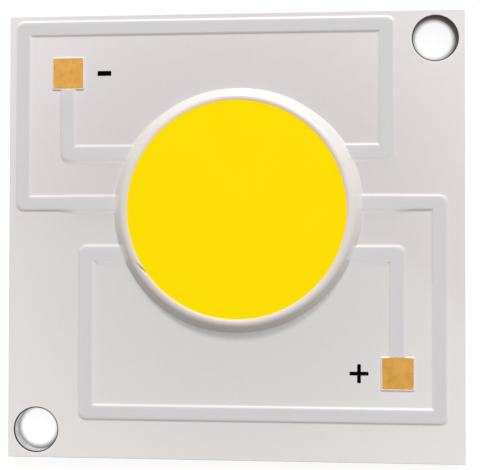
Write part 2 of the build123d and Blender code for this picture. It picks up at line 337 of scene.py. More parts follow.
def makeMottle():
    # cloudy unevenness and fine grain on the object's own coordinates, with sizes in millimetres: the tone is
    # the two noises mixed by the cloud share, and the height is the grain alone
    group, given, out = newGroup(
        "mottle",
        [
            ("Cloud Size", "NodeSocketFloat", 4.0),
            ("Grain Size", "NodeSocketFloat", 0.1),
            ("Cloud Share", "NodeSocketFloat", 0.5),
        ],
        [("Tone", "NodeSocketFloat"), ("Height", "NodeSocketFloat")],
    )
    place = addNode(group, "ShaderNodeTexCoord").outputs["Object"]
    noises = []
    for label, detail in (("Cloud Size", 3.0), ("Grain Size", 2.0)):
        perMetre = calculate(group, "DIVIDE", 1 / mm, given.outputs[label])
        values = {"Vector": place, "Scale": perMetre, "Detail": detail}
        noises.append(addNode(group, "ShaderNodeTexNoise", values).outputs["Fac"])
    cloud, grain = noises
    tone = addNode(group, "ShaderNodeMix", {0: given.outputs["Cloud Share"], 2: grain, 3: cloud})
    group.links.new(tone.outputs[0], out.inputs["Tone"])
    group.links.new(grain, out.inputs["Height"])
    return group


def makeBrushed():
    # fine straight lines along X, as rolling leaves them on metal: one noise, drawn out along that axis
    group, given, out = newGroup(
        "brushedLines",
        [("Line Width", "NodeSocketFloat", 0.05), ("Line Length", "NodeSocketFloat", 4.0)],
        [("Tone", "NodeSocketFloat"), ("Height", "NodeSocketFloat")],
    )
    place = addNode(group, "ShaderNodeTexCoord").outputs["Object"]
    across = calculate(group, "DIVIDE", 1 / mm, given.outputs["Line Width"])
    along = calculate(group, "DIVIDE", 1 / mm, given.outputs["Line Length"])
    stretch = addNode(group, "ShaderNodeCombineXYZ", {0: along, 1: across, 2: across})
    scaled = addNode(group, "ShaderNodeVectorMath", {0: place, 1: stretch.outputs[0]}, operation="MULTIPLY")
    values = {"Vector": scaled.outputs[0], "Scale": 1.0, "Detail": 4.0}
    noise = addNode(group, "ShaderNodeTexNoise", values)
    group.links.new(noise.outputs["Fac"], out.inputs["Tone"])
    group.links.new(noise.outputs["Fac"], out.inputs["Height"])
    return group


mottle = makeMottle()
brushedLines = makeBrushed()


def rampBetween(tree, value, dark, light, low=0.3, high=0.7):
    # colour from dark to light as a value goes from low to high
    ramp = addNode(tree, "ShaderNodeValToRGB", {"Fac": value})
    ramp.color_ramp.elements[0].position = low
    ramp.color_ramp.elements[0].color = (*dark, 1)
    ramp.color_ramp.elements[1].position = high
    ramp.color_ramp.elements[1].color = (*light, 1)
    return ramp.outputs["Color"]


def grey(value):
    return (value, value, value)


def mixColour(tree, share, first, second, blend="MIX"):
    values = {0: share, 6: first, 7: second}
    node = addNode(tree, "ShaderNodeMix", values, data_type="RGBA", blend_type=blend)
    return node.outputs[2]


def readAttribute(tree, name):
    return addNode(tree, "ShaderNodeAttribute", attribute_name=name).outputs["Fac"]


def newMaterial(name, metallic=0.0, specular=0.5):
    material = bpy.data.materials.new(name)
    material.use_nodes = True
    shader = material.node_tree.nodes["Principled BSDF"]
    shader.inputs["Metallic"].default_value = metallic
    shader.inputs["Specular IOR Level"].default_value = specular
    return material, material.node_tree, shader


def useGroup(tree, group, values):
    return addNode(tree, "ShaderNodeGroup", values, node_tree=group)


def addBump(tree, shader, height, strength, distance):
    # a bump of this strength, from 0 to 1, and this height in millimetres
    values = {"Strength": strength, "Distance": distance * mm, "Height": height}
    bump = addNode(tree, "ShaderNodeBump", values)
    tree.links.new(bump.outputs["Normal"], shader.inputs["Normal"])


def roughnessBetween(tree, shader, value, low, high):
    spread = addNode(tree, "ShaderNodeMapRange", {"Value": value, "To Min": low, "To Max": high})
    tree.links.new(spread.outputs["Result"], shader.inputs["Roughness"])


def simpleMaterial(name, look, group=mottle, metallic=0.0, specular=0.5):
    # a mottled or brushed finish: its colour, its roughness and a fine bump come from one group
    material, tree, shader = newMaterial(name, metallic, specular)
    pattern = useGroup(tree, group, look["pattern"])
    colour = rampBetween(tree, pattern.outputs["Tone"], look["dark"], look["light"])
    tree.links.new(colour, shader.inputs["Base Color"])
    roughnessBetween(tree, shader, pattern.outputs["Tone"], *look["roughness"])
    addBump(tree, shader, pattern.outputs["Height"], *look["bump"])
    return material


# White solder mask: it follows the copper, so it stands up in ridges over the conductors and pads

maskLook = {
    # a pinkish tint over the upper part, which is also painted shade: darker there so that the upper board
    # doesn't come out brighter
    "pinkTintAndPaintedShade": (0.625, 0.592, 0.604),
    "neutral": (0.648, 0.651, 0.643),
    "outer": (0.790, 0.770, 0.770),  # painted light: lighter towards the corners, and so darker round the bead in the middle
    "overCopper": (0.625, 0.622, 0.640),
    "lee": (0.86, 0.845, 0.845),  # painted light: a lighter colour on the conductors' lee slopes, which face away from the lamps, and round the screw holes
    "rim": (0.90, 0.86, 0.78),  # painted light: a warm, lighter frame round the pad openings, for the gold's bounce and the highlight on the film's edge
    "pattern": {"Cloud Size": 1.2, "Grain Size": 0.1, "Cloud Share": 0.5},
    "speck": (0.99, 1.005),  # how far the pattern darkens and lightens the film
    "roughness": (0.24, 0.32),
    "specular": 0.2,
    "bump": (0.3, 0.001),
    "slopeInside": 0.02,
    "slopeOutside": (0.14, 0.19),  # near the board's edges, where the film is thin, and in the middle
    "slopeLee": (0.03, 0.17),  # how much longer it is on the lee side
    "slopeBand": (3.0, 1.5),  # how far from the edges the slopes start to grow, and over what length
    "padSlope": 0.05,
    "padFlat": 0.03,
    "inset": 0.008,
    "holeGrowth": 0.012,
    "padGrowth": 0.03,
    "padRound": (0.03, 0.4),  # radius of the rounded edge, and how much of its drop is left
    "edgeRound": (0.02, 0.8),
    "bowReach": 0.6,  # how far above the positive pad the plan follows its bowed edge
    "unevenness": 0.0015,
    "underSlope": 0.025,
    "overEdge": 0.05,  # over what length the colour over the copper comes in
    "rimFade": 0.05,
    "holeFade": (0.05, 0.8),  # over what length the painted lighter edge at the holes fades, and its share
    "pinkZone": (-1.5, 3.5, 9.0),  # from which Y, over what length, and beyond which X it comes lower
    "outerZone": (7.5, 12.0),  # from which distance off the middle, and over what length
    "cell": 0.9,
    "leastGap": 0.0145,
    "edgeLines": (0.015, 0.03, 0.045, 0.09),
    "routeLines": (0, 0.2, 0.34, 0.39, 0.43, 0.465, 0.5, 0.535, 0.575, 0.62, 0.68, 0.75),
    "padLines": (0.0, 0.015, 0.03, 0.045, 0.06, 0.08, 0.12),
    "holeLines": (0.02, 0.06, 0.12),
    "holeSteps": 14,
    "wellSteps": 16,
    "wellReach": 8.0,
    "wellClearance": 0.05,
}


def maskMaterial():
    # the zones' colours lie over each other, and a fine pattern multiplies them
    material, tree, shader = newMaterial("whiteSolderMask", specular=maskLook["specular"])
    fine = useGroup(tree, mottle, maskLook["pattern"])
    colour = (*maskLook["neutral"], 1)
    # the pink zone is partly painted shade, and the outer, lee and rim zones are painted light
    for label in ("pinkTintAndPaintedShade", "outer", "overCopper", "lee", "rim"):
        colour = mixColour(tree, readAttribute(tree, label), colour, (*maskLook[label], 1))
    speck = rampBetween(tree, fine.outputs["Tone"], *map(grey, maskLook["speck"]))
    colour = mixColour(tree, 1.0, colour, speck, "MULTIPLY")
    tree.links.new(colour, shader.inputs["Base Color"])
    roughnessBetween(tree, shader, fine.outputs["Tone"], *maskLook["roughness"])
    addBump(tree, shader, fine.outputs["Height"], *maskLook["bump"])
    return material


def padDistance(x, y):
    # distance outside the nearer pad's opening, and below zero inside it
    half = padHalf + maskLook["padGrowth"]
    return np.minimum(boxDistance(x, y, padNegative, half), boxDistance(x, y, padPositive, half))


def awayFromEdge(x, y):
    # 0 near the board's outline and 1 well inside it
    start, length = maskLook["slopeBand"]
    return smoothStep((edgeDistance(x, y, 0, ()) - start) / length)


def leeSide(x, y):
    # 1 where the nearest conductor lies straight towards +Y, and 0 beside it and on its other side: how
    # much nearer it comes with a step that way
    step = 0.01
    return np.clip((routeDistance(x, y - step) - routeDistance(x, y + step)) / (2 * step), 0, 1)


def routeSlope(x, y):
    # 1 over a conductor and 0 away from it, with a smooth slope between, longer on the lee side
    lee = leeSide(x, y)
    near, far = (base + more * lee for base, more in zip(maskLook["slopeOutside"], maskLook["slopeLee"]))
    outside = near + (far - near) * awayFromEdge(x, y)
    route = routeDistance(x, y) - conductors["halfWidth"]
    return smoothStep((outside - route) / (maskLook["slopeInside"] + outside))


def maskHeight(x, y):
    # flat film, plus the copper's thickness where the film runs over a conductor or a pad
    padSlope = maskLook["padSlope"]
    overPad = smoothStep((padSlope + maskLook["padFlat"] - padDistance(x, y)) / padSlope)
    over = np.maximum(routeSlope(x, y), overPad)
    return levels["maskTop"] + (levels["ridgeTop"] - levels["maskTop"]) * over


def maskLines(axis, rounds, opening):
    # the plan's lines of one coordinate: close together at the edges, the conductors and the pads
    low, high = boardLow[axis] + maskLook["inset"], boardHigh[axis] - maskLook["inset"]
    wanted = [line for step in maskLook["edgeLines"] for line in (low + step, high - step)]
    for route in routes:
        for first, second in zip(route, route[1:]):
            if first[axis] == second[axis]:
                wanted += [first[axis] + side * line for side in (-1, 1) for line in maskLook["routeLines"]]
    pinned = []
    for pad in (padNegative, padPositive):
        pinned += [pad[axis] - opening, pad[axis] + opening]
        wanted += [pad[axis] + side * (opening + line) for side in (-1, 1) for line in maskLook["padLines"]]
    return boardLines(axis, maskLook["inset"], rounds, wanted, pinned, maskLook["cell"], maskLook["leastGap"])


def makeMask():
    # a film with openings for the screws, the pads and the well inside the bead. The row of cells above the
    # positive pad follows its bowed edge, which is a parabola.
    holes = screwHoles(
        holeRadius + maskLook["holeGrowth"], maskLook["inset"], maskLook["holeSteps"], maskLook["holeLines"]
    )
    wellRadius = boxOf("land_plating_right_middle")[1][0] - damMiddle[0] + maskLook["wellClearance"]
    rounds = [*holes, roundOpening(damMiddle, wellRadius, maskLook["wellReach"], maskLook["wellSteps"])]
    opening = padHalf + maskLook["padGrowth"]
    lines = [maskLines(axis, rounds, opening) for axis in (0, 1)]
    x, y, quads = planSheet(*lines, rounds, [(padNegative, opening), (padPositive, opening)])
    bow = padBow * np.clip(1 - ((x - padPositive[0]) / opening) ** 2, 0, 1)
    above = y - padPositive[1] - opening
    y = y + np.where(above > -tiny, bow * np.clip(1 - above / maskLook["bowReach"], 0, 1), 0)

    pad = np.maximum(padDistance(x, y), 0)
    edge = edgeDistance(x, y, maskLook["inset"], holes)
    top = maskHeight(x, y) + maskLook["unevenness"] * ripple(x, y, seed=3, length=5)
    for distance, (radius, share) in ((pad, maskLook["padRound"]), (edge, maskLook["edgeRound"])):
        top = top - share * roundOver(distance, radius)
    lift = smoothStep(1 - copperDistance(x, y) / maskLook["underSlope"])
    bottom = levels["copperBase"] + (levels["copperTop"] - levels["copperBase"]) * lift
    points, faces, _ = sheetSolid(x, y, quads, top, bottom)
    piece = addPiece("mask_film", points, faces, "solder_mask", maskMaterial(), ["solder_mask"])

    route = routeDistance(x, y) - conductors["halfWidth"]
    pinkFrom, pinkOver, pinkCorner = maskLook["pinkZone"]
    pinkTintAndPaintedShade = y + np.maximum(x - pinkCorner, 0) + ripple(x, y, seed=5, length=6) - pinkFrom
    outerFrom, outerOver = maskLook["outerZone"]
    # the lee zone is painted light: lighter half way down the lee slopes, which face away from the lamps, and
    # at the screw holes' edges
    holeEdge = np.where(edge < edgeDistance(x, y, maskLook["inset"], ()) - tiny, edge, np.inf)
    holeFade, holeShare = maskLook["holeFade"]
    slope = routeSlope(x, y)
    lee = leeSide(x, y) * awayFromEdge(x, y) * 4 * slope * (1 - slope)  # 1 half way down the slope
    zones = {
        "overCopper": smoothStep(-route / maskLook["overEdge"]),
        # the pink tint, partly painted shade, over the upper part
        "pinkTintAndPaintedShade": smoothStep(pinkTintAndPaintedShade / pinkOver),
        # painted light: lighter towards the corners
        "outer": np.clip((np.hypot(x, y) - outerFrom) / outerOver, 0, 1),
        "lee": np.maximum(lee, holeShare * np.exp(-holeEdge / holeFade)),
        # painted light round the pad openings
        "rim": np.exp(-pad / maskLook["rimFade"]),
    }
    for label, values in zones.items():
        addAttribute(piece, label, np.tile(values, 2))


makeMask()

# Aluminium core and the insulation over it, with their sheared edges and punched holes

coreLook = {
    "metal": {
        "dark": (0.45, 0.46, 0.47),
        "light": (0.62, 0.63, 0.64),
        "pattern": {"Line Width": 0.05, "Line Length": 6.0},
        "roughness": (0.28, 0.42),
        "bump": (0.5, 0.004),
    },
    "bevel": 0.05,
    "topShare": 0.3,  # how much of the bevel's drop the upper edges have
    "cutSmooth": (0.42, 0.41, 0.41),  # the upper part of a sheared edge, which the die burnishes
    "cutTorn": (0.24, 0.23, 0.23),  # the lower part, which breaks
    "breakLevel": 0.45,
    "breakWander": 0.15,
    "dragScale": (16000.0, 16000.0, 1200.0),  # waves to the metre: fine lines that stand upright
    "dragTone": (0.75, 1.1),
    "cutRoughness": (0.7, 0.45),  # torn and smooth
    "cutBump": (0.6, 0.012),
    "paintedShadeTop": (0.035, 0.027, 0.024),  # painted shade: inside the upper right hole, near black at the top of its wall
    "paintedShadeBottom": (0.52, 0.49, 0.48),
    "holeFrom": 0.25,  # the shares of the board's thickness where the painted shade starts and is full
    "holeTo": 0.9,
    "paintedLightHoleColour": (0.66, 0.65, 0.65),  # painted light: inside the lower left hole, a bright metal copy of the same punched wall
    "cell": 2.0,
    "leastGap": 0.006,
    "edgeLines": (0.008, 0.02, 0.035, 0.05, 0.09),
    "holeLines": (0.01, 0.03, 0.06, 0.1, 0.16),
    "holeSteps": 28,
}
insulationLook = {
    "dark": (0.022, 0.018, 0.016),
    "light": (0.045, 0.038, 0.034),
    "pattern": {"Cloud Size": 2.0, "Grain Size": 0.08, "Cloud Share": 0.4},
    "roughness": (0.45, 0.6),
    "bump": (0.5, 0.004),
    "specular": 0.2,
    "ring": 0.05,  # how far it stands into the holes
    "leastGap": 0.02,
    "windowSteps": 24,
    "windowReach": 7.0,
}


def cutMaterial():
    # sheared aluminium: upright drag lines, smooth above the break and torn below it, where the break is the
    # level plus the drag lines' wander
    look = coreLook
    material, tree, shader = newMaterial("shearedAluminium", specular=0.0)
    place = addNode(tree, "ShaderNodeTexCoord").outputs["Object"]
    squeeze = addNode(tree, "ShaderNodeVectorMath", {0: place, 1: look["dragScale"]}, operation="MULTIPLY")
    drag = addNode(tree, "ShaderNodeTexNoise", {"Vector": squeeze.outputs[0], "Scale": 1.0, "Detail": 3.0})
    drag = drag.outputs["Fac"]
    height = addNode(tree, "ShaderNodeSeparateXYZ", {0: place}).outputs["Z"]
    lowest = look["breakLevel"] - look["breakWander"] / 2
    breakHeight = calculate(tree, "MULTIPLY_ADD", drag, look["breakWander"] * mm, lowest * mm)
    smooth = calculate(tree, "GREATER_THAN", height, breakHeight)
    colour = mixColour(tree, smooth, (*look["cutTorn"], 1), (*look["cutSmooth"], 1))
    share = calculate(tree, "DIVIDE", height, levels["baseTop"] * mm)
    # painted shade and light in the holes: the upper right hole's wall darkens towards its top, and the lower
    # left hole's wall is bright metal
    black = rampBetween(tree, share, look["paintedShadeBottom"], look["paintedShadeTop"], look["holeFrom"], look["holeTo"])
    paintedLightShare = readAttribute(tree, "paintedLightHole")
    colour = mixColour(tree, paintedLightShare, colour, (*look["paintedLightHoleColour"], 1))
    colour = mixColour(tree, readAttribute(tree, "paintedShadeHole"), colour, black)
    tone = rampBetween(tree, drag, *map(grey, look["dragTone"]))
    tree.links.new(mixColour(tree, 1.0, colour, tone, "MULTIPLY"), shader.inputs["Base Color"])
    tree.links.new(paintedLightShare, shader.inputs["Metallic"])
    roughnessBetween(tree, shader, smooth, *look["cutRoughness"])
    addBump(tree, shader, drag, *look["cutBump"])
    return material


def makeCore():
    # the board with rounded edges: a quarter circle below, and a share of it above
    material = simpleMaterial("aluminiumCore", coreLook["metal"], brushedLines, metallic=1.0)
    holes = screwHoles(holeRadius, 0.0, coreLook["holeSteps"], coreLook["holeLines"])
    lines = []
    for axis in (0, 1):
        wanted = [boardLow[axis] + offset for offset in coreLook["edgeLines"]]
        wanted += [boardHigh[axis] - offset for offset in coreLook["edgeLines"]]
        lines.append(boardLines(axis, 0.0, holes, wanted, [], coreLook["cell"], coreLook["leastGap"]))
    x, y, quads = planSheet(*lines, holes)
    drop = roundOver(edgeDistance(x, y, 0.0, holes), coreLook["bevel"])
    top, bottom = levels["baseTop"] - coreLook["topShare"] * drop, levels["back"] + drop
    points, faces, walls = sheetSolid(x, y, quads, top, bottom)
    cut = {"wallMaterial": cutMaterial(), "walls": walls}
    piece = addPiece("core_plate", points, faces, "aluminium_core", material, ["base_plate"], **cut)
    onRim, clear = 0.01, 0.2  # nearer than this to a free edge, and farther than this from the outline
    atHole = (edgeDistance(x, y, 0.0, holes) < onRim) & (edgeDistance(x, y, 0.0, ()) > clear)
    # the holes' painted shade and painted light: the upper right one dark, the lower left one bright
    for label, side in (("paintedShadeHole", 1), ("paintedLightHole", -1)):
        addAttribute(piece, label, np.tile(atHole & (side * x > 0), 2))


def makeInsulation():
    # a film with round openings for the screws and the chips
    look = insulationLook
    material = simpleMaterial("insulationFilm", look, specular=look["specular"])
    window = roundOpening(damMiddle, windowRadius, look["windowReach"], look["windowSteps"])
    rounds = [*screwHoles(holeRadius - look["ring"], 0.0, coreLook["holeSteps"]), window]
    lines = [boardLines(axis, 0.0, rounds, [], [], coreLook["cell"], look["leastGap"]) for axis in (0, 1)]
    x, y, quads = planSheet(*lines, rounds)
    flat = np.ones_like(x)
    points, faces, _ = sheetSolid(x, y, quads, flat * levels["copperBase"], flat * levels["baseTop"])
    addPiece("insulation_film", points, faces, "dielectric", material, ["dielectric_layer"])


makeCore()
makeInsulation()

# Gold plated pads, matte and a little uneven, each with its own opening in the mask

goldLook = {
    "dark": (0.50, 0.25, 0.045),
    "light": (0.66, 0.365, 0.085),
    "pattern": {"Cloud Size": 0.5, "Grain Size": 0.07, "Cloud Share": 0.5},
    "roughness": (0.34, 0.5),
    "bump": (0.5, 0.004),
    "growth": 0.03,
    "lines": 65,
    "unevenness": 0.0015,
    "edgeRound": 0.004,
}


def makePads(material):
    # each pad is a square of metal, and the positive one's upper edge is bowed: its rows are stretched by a
    # parabola that grows from the lower edge to the upper one
    half = padHalf + goldLook["growth"]
    lines = np.linspace(-half, half, goldLook["lines"])
    for name, node, centre, bow in (
        ("pad_negative", "pad_plating_negative", padNegative, 0.0),
        ("pad_positive", "pad_plating_positive", padPositive, padBow),
    ):
        x, y, quads = planSheet(lines, lines, [])
        edge = half - np.maximum(np.abs(x), np.abs(y))
        y = y + bow * np.clip(1 - (x / half) ** 2, 0, 1) * (y + half) / (2 * half)
        x, y = x + centre[0], y + centre[1]
        uneven = goldLook["unevenness"] * (ripple(x, y, seed=8, length=0.7) - 1)
        top = levels["platingTop"] + uneven - roundOver(edge, goldLook["edgeRound"])
        points, faces, _ = sheetSolid(x, y, quads, top, np.full_like(x, levels["copperTop"]))
        addPiece(name, points, faces, "gold_plating", material, [node])


goldMaterial = simpleMaterial("goldPlating", goldLook, metallic=1.0)
makePads(goldMaterial)

# Printed polarity marks, as a squeegee leaves them: soft corners and a crowned film of ink

inkLook = {
    "dark": (0.0005, 0.0005, 0.0006),
    "light": (0.003, 0.003, 0.003),
    "pattern": {"Cloud Size": 0.3, "Grain Size": 0.05, "Cloud Share": 0.4},
    "roughness": (0.7, 0.85),
    "bump": (0.5, 0.004),
    "corner": 0.04,
    "stroke": 0.18,
    "growth": 0.02,
    "crown": 0.03,  # how far in from its edge the ink reaches its full height
    "crownDrop": 0.01,
    "cell": 0.04,
    "leastGap": 0.004,
    "edgeLines": (0, 0.008, 0.02, 0.035),
}


def inkDepth(x, y, bars):
    # distance inside the nearest edge of the sign's bars, whose ends have rounded corners
    corner = inkLook["corner"]
    depths = [corner - boxDistance(x, y, (0, 0), (wide - corner, tall - corner)) for wide, tall in bars]
    return np.max(depths, axis=0)


def makeMark(name, material):
    # the cells of a plan that lie inside the sign, with a top that falls off towards its edge
    low, high = boxOf(name)
    centre = (low + high) / 2
    half = (high - low)[:2] / 2 + inkLook["growth"]
    bars = [half]
    if name == "mark_plus":
        stroke = inkLook["stroke"] / 2 + inkLook["growth"]
        bars = [(half[0], stroke), (stroke, half[1])]
    lines = []
    for axis in (0, 1):
        pinned = [side * bar[axis] for bar in bars for side in (-1, 1)]
        offsets = [bar[axis] - line for bar in bars for line in inkLook["edgeLines"]]
        wanted = [side * offset for offset in offsets for side in (-1, 1)]
        lines.append(spreadLines(pinned, wanted, inkLook["cell"], inkLook["leastGap"]))
    x, y, quads = planSheet(*lines, [])
    quads = quads[inkDepth(x[quads].mean(axis=1), y[quads].mean(axis=1), bars) > 0.0]
    used, quads = np.unique(quads, return_inverse=True)
    x, y, quads = x[used], y[used], quads.reshape(-1, 4)
    top = high[2] - inkLook["crownDrop"] * (1 - smoothStep(inkDepth(x, y, bars) / inkLook["crown"]))
    points, faces, _ = sheetSolid(x + centre[0], y + centre[1], quads, top, np.full_like(x, low[2]))
    addPiece(name + "_print", points, faces, "marking_ink", material, [name])


inkMaterial = simpleMaterial("markingInk", inkLook, specular=0.0)
for markName in ("mark_minus", "mark_plus"):
    makeMark(markName, inkMaterial)

# Silicone bead: laid in one turn from a nozzle, so its sides are round and its start and stop lap over
# each other in a slanted crease

beadLook = {
    "rounds": 720,
    "outer": damHigh[0] - damMiddle[0] + 0.01,  # radius of its outer foot
    "crest": damHigh[0] - damMiddle[0] - 0.71,  # radius of its highest line
    "innerRound": 0.35,
    "innerLean": math.radians(51),  # the inner side below its round shoulder
    "outerLean": math.radians(50),  # the outer side above its foot
    "footRound": 0.12,  # how the silicone wets the mask
    "sectionSteps": 16,
    "waviness": 0.012,
    "drift": (-0.06, 0.01),
    # how much wider the bead came out, every thirty degrees from +X towards +Y
    "spread": (0.14, 0.19, 0.03, -0.05, -0.02, 0.12, 0.13, 0.12, 0.10, 0.0, 0.03, 0.05),
    "spreadFrom": 6.9,  # the radius outside which it widens, and over what length
    "spreadOver": 0.6,
    "underRadii": (6.3, 6.45, 6.6, 6.66, 6.7, 6.9, 7.1, 7.3, 7.4),
    "maskEdge": 6.65,  # inside it the bead's underside lies on the insulation, and outside it on the mask
    "sink": 0.002,
    "colour": (0.690, 0.660, 0.640),
    "colourLight": (0.720, 0.695, 0.675),
    "pattern": {"Cloud Size": 3.0, "Grain Size": 0.12, "Cloud Share": 0.7},
    "bump": (0.3, 0.003),
    # painted light near the fill: a darker warm colour under the glow, which also flattens the inner side's
    # shading
    "paintedWarmth": (0.50, 0.43, 0.37),
    "paintedWarmGlow": (0.31, 0.20, 0.11),  # painted light: a glow that stands in for the fill's light coming through the silicone
    "warmReach": 0.09,
    "roughness": (0.26, 0.36),
}
beadMiddle = damMiddle[:2] + beadLook["drift"]
creaseLook = {
    "angle": math.radians(211.8),
    "startRadius": 6.70,
    "endRadius": 6.96,
    "length": 1.0,
    "width": 0.062,
    "depth": 0.07,
    "taper": 1.6,  # how fast it runs out towards its ends
    "nickAngle": math.radians(82.5),
    "nickRadius": 7.4,
    "nickSize": (0.05, 0.08),  # along the bead and across it
    "nickDepth": 0.03,
    "foldAngle": math.radians(19),
    "foldSpan": math.radians(12),
    "foldRadius": 7.34,
    "foldWidth": 0.05,
    "foldDepth": 0.022,
    # painted shade darkens the crease, and puts out the painted glow there
    "paintedCreaseShade": (0.42, 0.33, 0.31),
    "paintedCreaseShadeWidth": 0.07,
    "paintedCreaseShadeStrength": 1.3,
    "fineAngles": (0.09, 121),  # how far the extra steps reach round the crease and the nick, and how many
}


# The fill inside the bead is a flat disc that cured a little out of level, and wets the bead in a thin
# rising rim

fillLook = {
    "rounds": 480,
    "rings": ((0.02, 0.9, 30), (0.91, 1, 14)),  # two shares of the radius, and how many rings between
    "pattern": {"Cloud Size": 2.2, "Grain Size": 0.06, "Cloud Share": 0.5},
    "bump": (0.4, 0.003),
    "colour": (0.985, 0.735, 0.0022),
    "colourLight": (0.99, 0.750, 0.0030),
    "rim": (0.97, 0.755, 0.001),
    "roughness": (0.55, 0.7),
    "level": 1.638,
    "slopeX": -0.0032,
    "slopeY": 0.0010,
    "meniscus": 0.004,
    "meniscusWidth": 0.05,
    "rimFade": 22,  # how fast the rim's colour fades inwards, to the radius
    "footRadius": 2.0,
}


def fillLevel(angle, r):
    # the tilted surface's level at this bearing and radius
    return fillLook["level"] + (fillLook["slopeX"] * np.cos(angle) + fillLook["slopeY"] * np.sin(angle)) * r


def fillEdge(angle):
    # where the fill's surface meets the bead's inner shoulder, which is a circle's arc
    radius = beadLook["innerRound"]
    drop = levels["crest"] - fillLevel(angle, beadLook["crest"])
    return beadLook["crest"] - np.sqrt(radius**2 - (radius - drop) ** 2)


def innerFoot():
    # the radius at which the bead's straight inner side comes down to the insulation
    radius, lean = beadLook["innerRound"], beadLook["innerLean"]
    rest = levels["crest"] - radius * (1 - math.cos(lean)) - levels["copperBase"]
    return beadLook["crest"] - radius * math.sin(lean) - rest / math.tan(lean)


def beadSection(steps):
    # the bead's section from its outer foot to its inner one: a hollow fillet, a steep straight side, an arc
    # up to the crest, another arc over it, and the straight inner side. The outer arc's radius is the one
    # that makes the parts add up to the bead's width.
    crest, foot, steep = beadLook["crest"], beadLook["footRound"], beadLook["outerLean"]
    inner, lean = beadLook["innerRound"], beadLook["innerLean"]
    height = levels["crest"] - levels["maskTop"]
    fall = 1 - math.cos(steep)
    sides = beadLook["outer"] - crest - foot * math.sin(steep) - (height - foot * fall) / math.tan(steep)
    outer = sides / (math.sin(steep) - fall / math.tan(steep))
    turn = np.linspace(0, steep, steps)
    over = np.linspace(0, lean, steps)[1:]
    share = np.linspace(0, 1, steps // 2)[1:]
    kneeR, kneeZ = crest - inner * math.sin(lean), levels["crest"] - inner * (1 - math.cos(lean))
    r = np.concatenate([
        beadLook["outer"] - foot * np.sin(turn),
        crest + outer * np.sin(turn[::-1]),
        crest - inner * np.sin(over),
        kneeR + (innerFoot() - kneeR) * share,
    ])
    z = np.concatenate([
        levels["maskTop"] + foot * (1 - np.cos(turn)),
        levels["crest"] - outer * (1 - np.cos(turn[::-1])),
        levels["crest"] - inner * (1 - np.cos(over)),
        kneeZ + (levels["copperBase"] - kneeZ) * share,
    ])
    return r, z


def beadAngles():
    # even steps round the ring, with extra ones where the crease and the nick are
    even = np.linspace(0, 2 * math.pi, beadLook["rounds"], endpoint=False)
    reach, count = creaseLook["fineAngles"]
    middles = (creaseLook["angle"], creaseLook["nickAngle"])
    fine = [np.linspace(middle - reach, middle + reach, count) for middle in middles]
    angles = np.sort(np.concatenate([even, *fine]) % (2 * math.pi))
    leastStep = 0.0004
    return angles[np.append(True, np.diff(angles) > leastStep)]


def beadSpread(angle):
    # the widths of the look, eased from one bearing to the next, and a gentle unevenness
    widths = np.array(beadLook["spread"])
    count = len(widths)
    turn = angle / (2 * math.pi / count)
    before = np.floor(turn).astype(int)
    ahead = smoothStep(turn - before)
    eased = widths[before % count] * (1 - ahead) + widths[(before + 1) % count] * ahead
    loop = 4  # radius of the circle on which the ripple is read, so that it closes
    waves = ripple(np.cos(angle) * loop, np.sin(angle) * loop, seed=21, length=6)
    return eased + beadLook["waviness"] * waves


def creaseLine(angle, r):
    # the slanted line's radius at each bearing, and a strength that is 1 in its middle and 0 at its ends
    along = (angle - creaseLook["angle"]) * r / creaseLook["length"]
    inward = 1 - np.clip(along + 0.5, 0, 1)
    line = creaseLook["startRadius"] + (creaseLook["endRadius"] - creaseLook["startRadius"]) * inward
    return line, np.clip(1 - np.abs(along) * creaseLook["taper"], 0, 1)


def bellCurve(value, width):
    # 1 at zero, and e to the minus square of the value over the width elsewhere
    return np.exp(-((value / width) ** 2))


def beadFlaws(angle, r):
    # how deep the crease, the nick and the fold cut: a bell curve across each, and along it a taper for the
    # crease and another bell curve for the others
    line, ends = creaseLine(angle, r)
    crease = bellCurve(r - line, creaseLook["width"]) * ends
    nickLength, nickWidth = creaseLook["nickSize"]
    nick = bellCurve((angle - creaseLook["nickAngle"]) * r, nickLength)
    nick = nick * bellCurve(r - creaseLook["nickRadius"], nickWidth)
    fold = bellCurve(angle - creaseLook["foldAngle"], creaseLook["foldSpan"])
    fold = fold * bellCurve(r - creaseLook["foldRadius"], creaseLook["foldWidth"])
    return creaseLook["depth"] * crease + creaseLook["nickDepth"] * nick + creaseLook["foldDepth"] * fold


def beadMaterial():
    # white silicone with painted light near the fill, a darker warm colour and a glow in place of the fill's
    # light through the silicone, and painted shade along the crease
    material, tree, shader = newMaterial("whiteSilicone")
    pattern = useGroup(tree, mottle, beadLook["pattern"])
    tone, black = pattern.outputs["Tone"], (0, 0, 0, 1)
    colour = rampBetween(tree, tone, beadLook["colour"], beadLook["colourLight"], low=0.35, high=0.65)
    paintedWarmth, paintedCreaseShade = readAttribute(tree, "nearFill"), readAttribute(tree, "paintedCreaseShade")
    colour = mixColour(tree, paintedWarmth, colour, (*beadLook["paintedWarmth"], 1))
    colour = mixColour(tree, paintedCreaseShade, colour, (*creaseLook["paintedCreaseShade"], 1))
    tree.links.new(colour, shader.inputs["Base Color"])
    light = mixColour(tree, paintedWarmth, black, (*beadLook["paintedWarmGlow"], 1))
    tree.links.new(mixColour(tree, paintedCreaseShade, light, black), shader.inputs["Emission Color"])
    shader.inputs["Emission Strength"].default_value = 1.0
    roughnessBetween(tree, shader, tone, *beadLook["roughness"])
    addBump(tree, shader, pattern.outputs["Height"], *beadLook["bump"])
    return material


